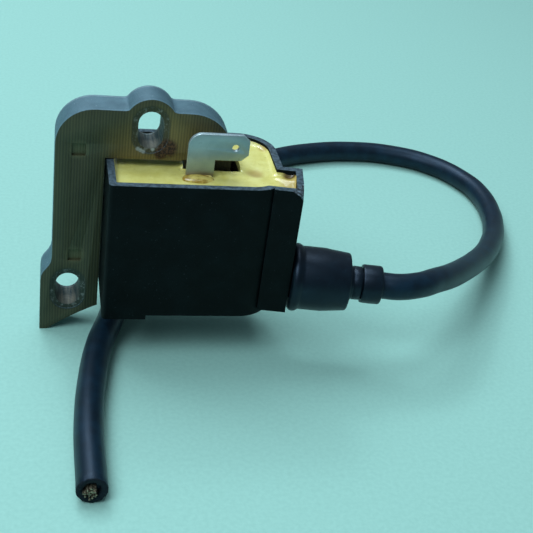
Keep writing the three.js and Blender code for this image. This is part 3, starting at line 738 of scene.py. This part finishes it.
# each outline goes round once, as distance from the axis and distance along it
bootProfile = [
    (4.2, 0.3), (5.5, 0.3), (6.0, 0.45), (6.28, 0.85), (6.35, 1.3), (6.28, 1.75), (6.02, 2.15), (5.93, 2.35),
    (5.95, 2.7), (5.9, 6.6), (5.8, 7.3), (5.42, 10.8), (5.36, 11.05), (5.2, 11.2), (4.75, 11.2),
    (4.6, 11.08), (4.55, 10.9), (4.5, 10.45), (3.6, 10.4), (3.5, 10.3), (3.45, 9.0), (4.2, 9.0), (4.2, 0.3),
]
sleeveProfile = [
    (2.8, 8.9), (3.1, 8.9), (3.15, 9.0), (3.15, 11.9), (3.08, 12.0), (3.08, 12.1), (3.15, 12.2),
    (3.15, 13.4), (3.05, 13.6), (2.8, 13.6), (2.8, 8.9),
]
collarProfile = [
    (2.62, 13.75), (3.35, 13.75), (3.52, 13.85), (3.6, 14.1), (3.62, 15.6), (3.6, 17.1), (3.5, 17.38),
    (3.3, 17.5), (2.7, 17.5), (2.56, 17.4), (2.62, 13.75),
]


def makeTurned(name, profile, material, node, wobble=0.0, seed=0):
    bm = bmesh.new()
    verts = [bm.verts.new((along * mm, radius * mm, 0)) for radius, along in profile[:-1]]
    edges = [bm.edges.new((verts[i - 1], verts[i])) for i in range(len(verts))]
    bmesh.ops.spin(bm, geom=verts + edges, cent=(0, 0, 0), axis=(1, 0, 0), angle=2 * math.pi,
                   steps=outlet["segments"], use_merge=True, use_duplicate=False)
    bmesh.ops.remove_doubles(bm, verts=bm.verts, dist=0.001 * mm)
    bmesh.ops.recalc_face_normals(bm, faces=bm.faces)
    for vert in bm.verts:
        lump = noise.noise(vert.co / (outlet["wobbleSize"] * mm) + Vector((seed, 0, 0)))
        vert.co += vert.normal * wobble * mm * lump
    place = Matrix.Translation(atMm(*outlet["at"])) @ Matrix.Rotation(math.radians(outlet["yaw"]), 4, "Z")
    bmesh.ops.transform(bm, matrix=place, verts=bm.verts)
    finishPiece(name, bm, [material], [node], smoothTo=40)


makeTurned("boot", bootProfile, bootRubber, "rubber_boot", 0.08)
makeTurned("sleeve", sleeveProfile, bootRubber, "sealing_sleeve", 0.05, 4)
makeTurned("collar", collarProfile, bootRubber, "collar_ring", 0.07, 8)
print("boot made")


lead = {
    "radius": 2.5,
    "route": [
        (29.9, -8.33, 16), (31.08, -8.52, 16), (34.05, -8.99, 16), (38.5, -8, 15.8), (43, -4.9, 14.9),
        (48, -0.4, 13.1), (53.5, 5.6, 10.9), (59, 12.3, 8.6), (64, 18.8, 6.7), (69.5, 27.5, 4.7),
        (73.5, 35.5, 3.3), (76.5, 45, 2.6), (77.3, 54, 2.55), (75.5, 62, 2.55), (69, 71, 2.55),
        (59, 76, 2.55), (48.5, 77, 2.55), (37, 75, 2.55), (27, 70.8, 2.55), (14, 61.5, 2.55),
        (2, 49.5, 2.55), (-7.5, 35, 2.55), (-14, 18, 2.55), (-18, 0, 2.55), (-20.5, -8.5, 2.55),
        (-22.3, -19, 2.55), (-23.3, -31, 2.55), (-23.3, -45.4, 2.55),
    ],
}


def makeLead():
    curve = bpy.data.curves.new("lead", "CURVE")
    curve.dimensions = "3D"
    curve.bevel_depth = lead["radius"] * mm
    curve.bevel_resolution = 7
    curve.resolution_u = 10
    curve.use_fill_caps = True
    spline = curve.splines.new("BEZIER")
    spline.bezier_points.add(len(lead["route"]) - 1)
    for point, place in zip(spline.bezier_points, lead["route"]):
        point.co = atMm(*place)
        point.handle_left_type = point.handle_right_type = "AUTO"
    curve.materials.append(leadSkin)
    piece = bpy.data.objects.new("lead", curve)
    bpy.context.scene.collection.objects.link(piece)
    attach(piece, body)
    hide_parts("lead_jacket")
    return piece


cutEnd = {
    "at": (-23.3, -45.4, 2.55),
    "profile": [(2.5, -0.4), (2.5, 0.95), (2.38, 1.15), (2.1, 1.2), (1.5, 1.05), (1.35, 0.7), (1.35, -0.4)],
    "skinEdge": 2.44,
    "tornPast": 0.6,
    "tear": 0.2,
    "core": (-0.25, -0.3),
    "strands": 19,
    "strandRadius": 0.19,
    "strandTaper": 0.8,
    "strandGap": 0.255,
    "strandTurn": 137.5,  # degrees from each strand to the next, which packs them evenly
    "strandLength": 1.35,
    "strandExtra": 0.45,
    "strandLean": 0.12,
}


def makeCutJacket():
    bm = bmesh.new()
    verts = [bm.verts.new((radius * mm, -along * mm, 0)) for radius, along in cutEnd["profile"]]
    edges = [bm.edges.new((verts[i - 1], verts[i])) for i in range(len(verts))]
    bmesh.ops.spin(bm, geom=verts + edges, cent=(0, 0, 0), axis=(0, 1, 0), angle=2 * math.pi, steps=64,
                   use_merge=True, use_duplicate=False)
    bmesh.ops.remove_doubles(bm, verts=bm.verts, dist=0.001 * mm)
    bmesh.ops.recalc_face_normals(bm, faces=bm.faces)
    for face in bm.faces:
        middle = face.calc_center_median() / mm
        face.material_index = 0 if math.hypot(middle.x, middle.z) > cutEnd["skinEdge"] else 1
    for vert in bm.verts:
        if vert.co.y < -cutEnd["tornPast"] * mm:  # the cutters tore it
            tear = noise.noise(vert.co / (0.55 * mm)) + 0.5 * noise.noise(vert.co / (0.2 * mm))
            vert.co.y += cutEnd["tear"] * mm * tear
    bmesh.ops.translate(bm, vec=atMm(*cutEnd["at"]), verts=bm.verts)
    return finishPiece("cutJacket", bm, [leadSkin, tornSkin], smoothTo=60)


def makeCutStrands():
    dice = random.Random(7)
    bm = bmesh.new()
    bend = cutEnd["strandLean"]
    thick = cutEnd["strandRadius"]
    for number in range(cutEnd["strands"]):
        out = cutEnd["strandGap"] * math.sqrt(number)
        turn = number * math.radians(cutEnd["strandTurn"])
        length = (cutEnd["strandLength"] + cutEnd["strandExtra"] * dice.random()) * mm
        sideways = Matrix.Rotation(dice.uniform(-bend, bend), 4, "Z")
        lean = sideways @ Matrix.Rotation(dice.uniform(-bend, bend), 4, "X")
        x = cutEnd["core"][0] + out * math.cos(turn)
        z = cutEnd["core"][1] + out * math.sin(turn)
        root = Matrix.Translation(atMm(*cutEnd["at"]) + atMm(x, 0, z))
        place = root @ lean @ Matrix.Translation((0, -length / 2, 0))
        bmesh.ops.create_cone(bm, cap_ends=True, segments=8, radius1=thick * mm,
                              radius2=thick * cutEnd["strandTaper"] * mm, depth=length,
                              matrix=place @ Matrix.Rotation(math.radians(90), 4, "X"))
    return finishPiece("cutStrands", bm, [strand], smoothTo=50)


leadPiece = makeLead()
cutPieces = [makeCutJacket(), makeCutStrands()]


def dressNode(node, material):
    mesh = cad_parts[node].data
    mesh.materials.clear()
    mesh.materials.append(material)


copperTurns = enamelledWire("enamelledCopperCoarse", "#6E2E12", "#C77A3C", 0.3)
fineTurns = enamelledWire("enamelledCopperFine", "#7A3A18", "#B8703A", 0.2)
blackNylon6 = plainStock("blackBobbinNylon", "#1B1D1E", "#2C2F30", 1.5, 0.45, 0.65)
naturalPlastic = plainStock("naturalPolyester", "#C9BE9C", "#E2D9BC", 2.0, 0.35, 0.55)
boardStock = plainStock("solderMaskedLaminate", "#1F5A34", "#2F7A48", 1.2, 0.25, 0.45)
filmStock = plainStock("dippedFilmCapacitor", "#8F2F1C", "#B9472B", 1.0, 0.2, 0.4)
packageStock = plainStock("mouldedEpoxyPackage", "#17181A", "#26282B", 0.8, 0.5, 0.7)
resistorStock = plainStock("lacqueredCeramic", "#B79A6A", "#D6BE90", 0.7, 0.3, 0.5)
brassStock = plainStock("bareBrass", "#9A7632", "#C9A45A", 1.0, 0.3, 0.5, 0.9)
wireRubber = plainStock("wireInsulation", "#14181C", "#23292F", 0.8, 0.45, 0.6)

hidden = {
    "primary_bobbin": blackNylon6,
    "secondary_bobbin": naturalPlastic,
    "charge_winding": copperTurns,
    "trigger_winding": copperTurns,
    "primary_winding": copperTurns,
    "secondary_winding_1": fineTurns,
    "secondary_winding_2": fineTurns,
    "secondary_winding_3": fineTurns,
    "secondary_winding_4": fineTurns,
    "circuit_board": boardStock,
    "storage_capacitor": filmStock,
    "thyristor": packageStock,
    "charge_diode": packageStock,
    "clamp_diode": packageStock,
    "gate_resistor": resistorStock,
    "bleed_resistor": resistorStock,
    "earth_strip": brassStock,
    "contact_spike": brassStock,
    "stop_wire": wireRubber,
    "high_voltage_wire": copperTurns,
    "lead_end_jacket": leadSkin,
    "lead_end_wire": strand,
    "lead_wire": strand,
}
for node, material in hidden.items():
    dressNode(node, material)
print("hidden pieces dressed")


studio = {
    "floor": "#95C4B5",
    "floorLight": "#9DCCBD",
    "floorHalf": 3000.0,
    "sky": "#C6DFF2",
    "skyStrength": 0.26,
    "lamp": "#DBECFA",
    "lamps": [
        {"at": (-150, 260, 620), "aim": (0, 10, 10), "size": 520, "watts": 4.1},
        {"at": (-280, -260, 520), "aim": (10, 0, 10), "size": 360, "watts": 2.5},
        {"at": (-90, 330, 430), "aim": (0, 10, 30), "size": 70, "watts": 0.35},
    ],
}


def makeFloor():
    bm = bmesh.new()
    bmesh.ops.create_grid(bm, x_segments=1, y_segments=1, size=studio["floorHalf"] * mm)
    mesh = bpy.data.meshes.new("studioFloor")
    bm.to_mesh(mesh)
    bm.free()
    floor = bpy.data.objects.new("studioFloor", mesh)
    bpy.context.scene.collection.objects.link(floor)
    material, tree, shader, place = startMaterial("paleFloorPaper")
    fibre = speckle(tree, place, 0.8, 4.0)
    colour = mixColours(tree, between(tree, fibre, 0.2, 0.8), studio["floor"], studio["floorLight"])
    finishSurface(tree, shader, colour, mixValues(tree, fibre, 0.85, 0.95))
    mesh.materials.append(material)


def makeLamps():
    for number, lamp in enumerate(studio["lamps"]):
        data = bpy.data.lights.new(f"softbox{number}", "AREA")
        data.shape = "SQUARE"
        data.size = lamp["size"] * mm
        data.energy = lamp["watts"]
        data.color = toLinear(studio["lamp"])[:3]
        light = bpy.data.objects.new(f"softbox{number}", data)
        bpy.context.scene.collection.objects.link(light)
        light.location = atMm(*lamp["at"])
        light.rotation_euler = (atMm(*lamp["aim"]) - light.location).to_track_quat("-Z", "Y").to_euler()
    world = bpy.data.worlds.new("studioSky")
    bpy.context.scene.world = world
    world.use_nodes = True
    sky = world.node_tree.nodes["Background"]
    sky.inputs["Color"].default_value = toLinear(studio["sky"])
    sky.inputs["Strength"].default_value = studio["skyStrength"]


makeFloor()
makeLamps()
bpy.context.scene.view_settings.view_transform = "Standard"
print("studio made")

bpy.context.view_layer.update()
